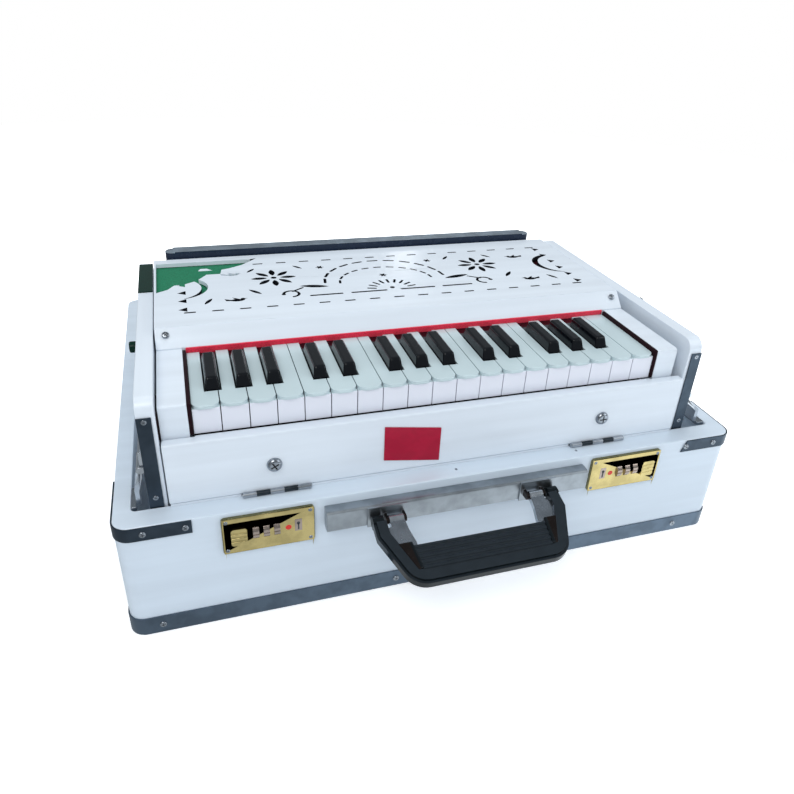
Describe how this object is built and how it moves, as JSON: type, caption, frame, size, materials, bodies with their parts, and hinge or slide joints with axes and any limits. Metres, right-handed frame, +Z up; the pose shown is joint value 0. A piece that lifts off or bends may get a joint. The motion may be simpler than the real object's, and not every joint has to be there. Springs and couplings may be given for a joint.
{
  "type": "harmonium",
  "caption": "Portable reed keyboard with a pierced top board, raised on its lift inside an open carrying tray with locks and a handle.",
  "frame": {"origin": "centre of the bounding box at its lowest height", "axes": "+X along the keyboard to the high keys, +Y to the bellows, +Z up"},
  "size_m": [0.5804, 0.5445, 0.225],
  "materials": {
    "white_paint": "painted gloss",
    "grey_steel": "satin",
    "olive_brass": "aged satin",
    "bright_metal": "polished",
    "maroon_plate": "gloss",
    "red_felt": "felt",
    "green_cloth": "cloth",
    "plain_wood": "bare",
    "bellows_cloth": "cloth over card",
    "dark_board": "painted",
    "black_plastic": "gloss",
    "white_key": "gloss",
    "black_key": "gloss"
  },
  "bodies": {
    "case": {"case_tray": "white_paint", "case_trim": "grey_steel", "tray_fittings": "grey_steel", "lock_plates": "olive_brass"},
    "front_flap": {"front_board": "white_paint", "board_fittings": "bright_metal", "nameplate": "maroon_plate"},
    "instrument": {"side_panels": "white_paint", "panel_fittings": "grey_steel", "body_case": "white_paint", "name_rail": "white_paint", "felt_strips": "red_felt", "fret_board": "white_paint", "green_lining": "green_cloth", "reed_action": "plain_wood", "bellows_folds": "bellows_cloth"},
    "bellows": {"bellows_board": "dark_board"},
    "handle_body": {"handle": "black_plastic"},
    "slider_left": {"lock_slider_left": "olive_brass"},
    "slider_right": {"lock_slider_right": "olive_brass"},
    "leg_left": {"lift_leg_left": "bright_metal"},
    "leg_right": {"lift_leg_right": "bright_metal"},
    "dial_1": {"lock_dial_1": "olive_brass"},
    "dial_2": {"lock_dial_2": "olive_brass"},
    "dial_3": {"lock_dial_3": "olive_brass"},
    "dial_4": {"lock_dial_4": "olive_brass"},
    "dial_5": {"lock_dial_5": "olive_brass"},
    "dial_6": {"lock_dial_6": "olive_brass"},
    "white_01": {"white_key_01": "white_key"},
    "white_02": {"white_key_02": "white_key"},
    "white_03": {"white_key_03": "white_key"},
    "white_04": {"white_key_04": "white_key"},
    "white_05": {"white_key_05": "white_key"},
    "white_06": {"white_key_06": "white_key"},
    "white_07": {"white_key_07": "white_key"},
    "white_08": {"white_key_08": "white_key"},
    "white_09": {"white_key_09": "white_key"},
    "white_10": {"white_key_10": "white_key"},
    "white_11": {"white_key_11": "white_key"},
    "white_12": {"white_key_12": "white_key"},
    "white_13": {"white_key_13": "white_key"},
    "white_14": {"white_key_14": "white_key"},
    "white_15": {"white_key_15": "white_key"},
    "white_16": {"white_key_16": "white_key"},
    "white_17": {"white_key_17": "white_key"},
    "white_18": {"white_key_18": "white_key"},
    "white_19": {"white_key_19": "white_key"},
    "black_01": {"black_key_01": "black_key"},
    "black_02": {"black_key_02": "black_key"},
    "black_03": {"black_key_03": "black_key"},
    "black_04": {"black_key_04": "black_key"},
    "black_05": {"black_key_05": "black_key"},
    "black_06": {"black_key_06": "black_key"},
    "black_07": {"black_key_07": "black_key"},
    "black_08": {"black_key_08": "black_key"},
    "black_09": {"black_key_09": "black_key"},
    "black_10": {"black_key_10": "black_key"},
    "black_11": {"black_key_11": "black_key"},
    "black_12": {"black_key_12": "black_key"},
    "black_13": {"black_key_13": "black_key"}
  },
  "joints": [
    {"name": "flap_fold", "type": "hinge", "parent": "case", "child": "front_flap", "pos_m": [-0.008, -0.17285, 0.1183], "axis": [1, 0, 0], "range_deg": [0, 90]},
    {"name": "instrument_lift", "type": "slide", "parent": "case", "child": "instrument", "axis": [0, 0, 1], "range_m": [-0.06, 0]},
    {"name": "bellows_swing", "type": "hinge", "parent": "instrument", "child": "bellows", "pos_m": [-0.0115, 0.13215, 0.0988], "axis": [-1, 0, 0], "range_deg": [0, 25], "deforming": ["bellows_folds"]},
    {"name": "handle_swing", "type": "hinge", "parent": "case", "child": "handle_body", "pos_m": [-0.0015, -0.20785, 0.09685], "axis": [1, 0, 0], "range_deg": [-45, 75]},
    {"name": "slider_left_slide", "type": "slide", "parent": "case", "child": "slider_left", "axis": [-1, 0, 0], "range_m": [0, 0.005], "stiffness_N_per_m": 100, "springref_m": -0.004},
    {"name": "slider_right_slide", "type": "slide", "parent": "case", "child": "slider_right", "axis": [1, 0, 0], "range_m": [0, 0.005], "stiffness_N_per_m": 100, "springref_m": -0.004},
    {"name": "dial_1_turn", "type": "hinge", "parent": "case", "child": "dial_1", "pos_m": [-0.18135, -0.18701, 0.09375], "axis": [1, 0, 0], "continuous": true},
    {"name": "dial_2_turn", "type": "hinge", "parent": "case", "child": "dial_2", "pos_m": [-0.17275, -0.18701, 0.09375], "axis": [1, 0, 0], "continuous": true},
    {"name": "dial_3_turn", "type": "hinge", "parent": "case", "child": "dial_3", "pos_m": [-0.16415, -0.18701, 0.09375], "axis": [1, 0, 0], "continuous": true},
    {"name": "dial_4_turn", "type": "hinge", "parent": "case", "child": "dial_4", "pos_m": [0.16115, -0.18701, 0.09375], "axis": [1, 0, 0], "continuous": true},
    {"name": "dial_5_turn", "type": "hinge", "parent": "case", "child": "dial_5", "pos_m": [0.16975, -0.18701, 0.09375], "axis": [1, 0, 0], "continuous": true},
    {"name": "dial_6_turn", "type": "hinge", "parent": "case", "child": "dial_6", "pos_m": [0.17835, -0.18701, 0.09375], "axis": [1, 0, 0], "continuous": true},
    {"name": "leg_left_fold", "type": "hinge", "parent": "instrument", "child": "leg_left", "pos_m": [-0.2641, -0.15515, 0.15], "axis": [0, -1, 0], "range_deg": [0, 8], "stiffness_Nm_per_rad": 0.1, "springref_deg": -17.19},
    {"name": "leg_right_fold", "type": "hinge", "parent": "instrument", "child": "leg_right", "pos_m": [0.2481, -0.15515, 0.15], "axis": [0, 1, 0], "range_deg": [0, 8], "stiffness_Nm_per_rad": 0.1, "springref_deg": -17.19},
    {"name": "white_01_press", "type": "hinge", "parent": "instrument", "child": "white_01", "pos_m": [-0.2148, -0.01245, 0.18175], "axis": [1, 0, 0], "range_deg": [0, 3.1], "stiffness_Nm_per_rad": 0.3, "springref_deg": -20.05},
    {"name": "white_02_press", "type": "hinge", "parent": "instrument", "child": "white_02", "pos_m": [-0.19025, -0.01245, 0.18175], "axis": [1, 0, 0], "range_deg": [0, 3.1], "stiffness_Nm_per_rad": 0.3, "springref_deg": -20.05},
    {"name": "white_03_press", "type": "hinge", "parent": "instrument", "child": "white_03", "pos_m": [-0.1655, -0.01245, 0.18175], "axis": [1, 0, 0], "range_deg": [0, 3.1], "stiffness_Nm_per_rad": 0.3, "springref_deg": -20.05},
    {"name": "white_04_press", "type": "hinge", "parent": "instrument", "child": "white_04", "pos_m": [-0.13945, -0.01245, 0.18175], "axis": [1, 0, 0], "range_deg": [0, 3.1], "stiffness_Nm_per_rad": 0.3, "springref_deg": -20.05},
    {"name": "white_05_press", "type": "hinge", "parent": "instrument", "child": "white_05", "pos_m": [-0.1268, -0.01245, 0.18175], "axis": [1, 0, 0], "range_deg": [0, 3.1], "stiffness_Nm_per_rad": 0.3, "springref_deg": -20.05},
    {"name": "white_06_press", "type": "hinge", "parent": "instrument", "child": "white_06", "pos_m": [-0.10175, -0.01245, 0.18175], "axis": [1, 0, 0], "range_deg": [0, 3.1], "stiffness_Nm_per_rad": 0.3, "springref_deg": -20.05},
    {"name": "white_07_press", "type": "hinge", "parent": "instrument", "child": "white_07", "pos_m": [-0.07445, -0.01245, 0.18175], "axis": [1, 0, 0], "range_deg": [0, 3.1], "stiffness_Nm_per_rad": 0.3, "springref_deg": -20.05},
    {"name": "white_08_press", "type": "hinge", "parent": "instrument", "child": "white_08", "pos_m": [-0.0608, -0.01245, 0.18175], "axis": [1, 0, 0], "range_deg": [0, 3.1], "stiffness_Nm_per_rad": 0.3, "springref_deg": -20.05},
    {"name": "white_09_press", "type": "hinge", "parent": "instrument", "child": "white_09", "pos_m": [-0.03625, -0.01245, 0.18175], "axis": [1, 0, 0], "range_deg": [0, 3.1], "stiffness_Nm_per_rad": 0.3, "springref_deg": -20.05},
    {"name": "white_10_press", "type": "hinge", "parent": "instrument", "child": "white_10", "pos_m": [-0.0115, -0.01245, 0.18175], "axis": [1, 0, 0], "range_deg": [0, 3.1], "stiffness_Nm_per_rad": 0.3, "springref_deg": -20.05},
    {"name": "white_11_press", "type": "hinge", "parent": "instrument", "child": "white_11", "pos_m": [0.01455, -0.01245, 0.18175], "axis": [1, 0, 0], "range_deg": [0, 3.1], "stiffness_Nm_per_rad": 0.3, "springref_deg": -20.05},
    {"name": "white_12_press", "type": "hinge", "parent": "instrument", "child": "white_12", "pos_m": [0.0272, -0.01245, 0.18175], "axis": [1, 0, 0], "range_deg": [0, 3.1], "stiffness_Nm_per_rad": 0.3, "springref_deg": -20.05},
    {"name": "white_13_press", "type": "hinge", "parent": "instrument", "child": "white_13", "pos_m": [0.05225, -0.01245, 0.18175], "axis": [1, 0, 0], "range_deg": [0, 3.1], "stiffness_Nm_per_rad": 0.3, "springref_deg": -20.05},
    {"name": "white_14_press", "type": "hinge", "parent": "instrument", "child": "white_14", "pos_m": [0.07955, -0.01245, 0.18175], "axis": [1, 0, 0], "range_deg": [0, 3.1], "stiffness_Nm_per_rad": 0.3, "springref_deg": -20.05},
    {"name": "white_15_press", "type": "hinge", "parent": "instrument", "child": "white_15", "pos_m": [0.0932, -0.01245, 0.18175], "axis": [1, 0, 0], "range_deg": [0, 3.1], "stiffness_Nm_per_rad": 0.3, "springref_deg": -20.05},
    {"name": "white_16_press", "type": "hinge", "parent": "instrument", "child": "white_16", "pos_m": [0.11775, -0.01245, 0.18175], "axis": [1, 0, 0], "range_deg": [0, 3.1], "stiffness_Nm_per_rad": 0.3, "springref_deg": -20.05},
    {"name": "white_17_press", "type": "hinge", "parent": "instrument", "child": "white_17", "pos_m": [0.1425, -0.01245, 0.18175], "axis": [1, 0, 0], "range_deg": [0, 3.1], "stiffness_Nm_per_rad": 0.3, "springref_deg": -20.05},
    {"name": "white_18_press", "type": "hinge", "parent": "instrument", "child": "white_18", "pos_m": [0.16855, -0.01245, 0.18175], "axis": [1, 0, 0], "range_deg": [0, 3.1], "stiffness_Nm_per_rad": 0.3, "springref_deg": -20.05},
    {"name": "white_19_press", "type": "hinge", "parent": "instrument", "child": "white_19", "pos_m": [0.1865, -0.01245, 0.18175], "axis": [1, 0, 0], "range_deg": [0, 3.1], "stiffness_Nm_per_rad": 0.3, "springref_deg": -20.05},
    {"name": "black_01_press", "type": "hinge", "parent": "instrument", "child": "black_01", "pos_m": [-0.2025, -0.01245, 0.18175], "axis": [1, 0, 0], "range_deg": [0, 3.1], "stiffness_Nm_per_rad": 0.3, "springref_deg": -20.05},
    {"name": "black_02_press", "type": "hinge", "parent": "instrument", "child": "black_02", "pos_m": [-0.178, -0.01245, 0.18175], "axis": [1, 0, 0], "range_deg": [0, 3.1], "stiffness_Nm_per_rad": 0.3, "springref_deg": -20.05},
    {"name": "black_03_press", "type": "hinge", "parent": "instrument", "child": "black_03", "pos_m": [-0.153, -0.01245, 0.18175], "axis": [1, 0, 0], "range_deg": [0, 3.1], "stiffness_Nm_per_rad": 0.3, "springref_deg": -20.05},
    {"name": "black_04_press", "type": "hinge", "parent": "instrument", "child": "black_04", "pos_m": [-0.1145, -0.01245, 0.18175], "axis": [1, 0, 0], "range_deg": [0, 3.1], "stiffness_Nm_per_rad": 0.3, "springref_deg": -20.05},
    {"name": "black_05_press", "type": "hinge", "parent": "instrument", "child": "black_05", "pos_m": [-0.089, -0.01245, 0.18175], "axis": [1, 0, 0], "range_deg": [0, 3.1], "stiffness_Nm_per_rad": 0.3, "springref_deg": -20.05},
    {"name": "black_06_press", "type": "hinge", "parent": "instrument", "child": "black_06", "pos_m": [-0.0485, -0.01245, 0.18175], "axis": [1, 0, 0], "range_deg": [0, 3.1], "stiffness_Nm_per_rad": 0.3, "springref_deg": -20.05},
    {"name": "black_07_press", "type": "hinge", "parent": "instrument", "child": "black_07", "pos_m": [-0.024, -0.01245, 0.18175], "axis": [1, 0, 0], "range_deg": [0, 3.1], "stiffness_Nm_per_rad": 0.3, "springref_deg": -20.05},
    {"name": "black_08_press", "type": "hinge", "parent": "instrument", "child": "black_08", "pos_m": [0.001, -0.01245, 0.18175], "axis": [1, 0, 0], "range_deg": [0, 3.1], "stiffness_Nm_per_rad": 0.3, "springref_deg": -20.05},
    {"name": "black_09_press", "type": "hinge", "parent": "instrument", "child": "black_09", "pos_m": [0.0395, -0.01245, 0.18175], "axis": [1, 0, 0], "range_deg": [0, 3.1], "stiffness_Nm_per_rad": 0.3, "springref_deg": -20.05},
    {"name": "black_10_press", "type": "hinge", "parent": "instrument", "child": "black_10", "pos_m": [0.065, -0.01245, 0.18175], "axis": [1, 0, 0], "range_deg": [0, 3.1], "stiffness_Nm_per_rad": 0.3, "springref_deg": -20.05},
    {"name": "black_11_press", "type": "hinge", "parent": "instrument", "child": "black_11", "pos_m": [0.1055, -0.01245, 0.18175], "axis": [1, 0, 0], "range_deg": [0, 3.1], "stiffness_Nm_per_rad": 0.3, "springref_deg": -20.05},
    {"name": "black_12_press", "type": "hinge", "parent": "instrument", "child": "black_12", "pos_m": [0.13, -0.01245, 0.18175], "axis": [1, 0, 0], "range_deg": [0, 3.1], "stiffness_Nm_per_rad": 0.3, "springref_deg": -20.05},
    {"name": "black_13_press", "type": "hinge", "parent": "instrument", "child": "black_13", "pos_m": [0.155, -0.01245, 0.18175], "axis": [1, 0, 0], "range_deg": [0, 3.1], "stiffness_Nm_per_rad": 0.3, "springref_deg": -20.05}
  ]
}
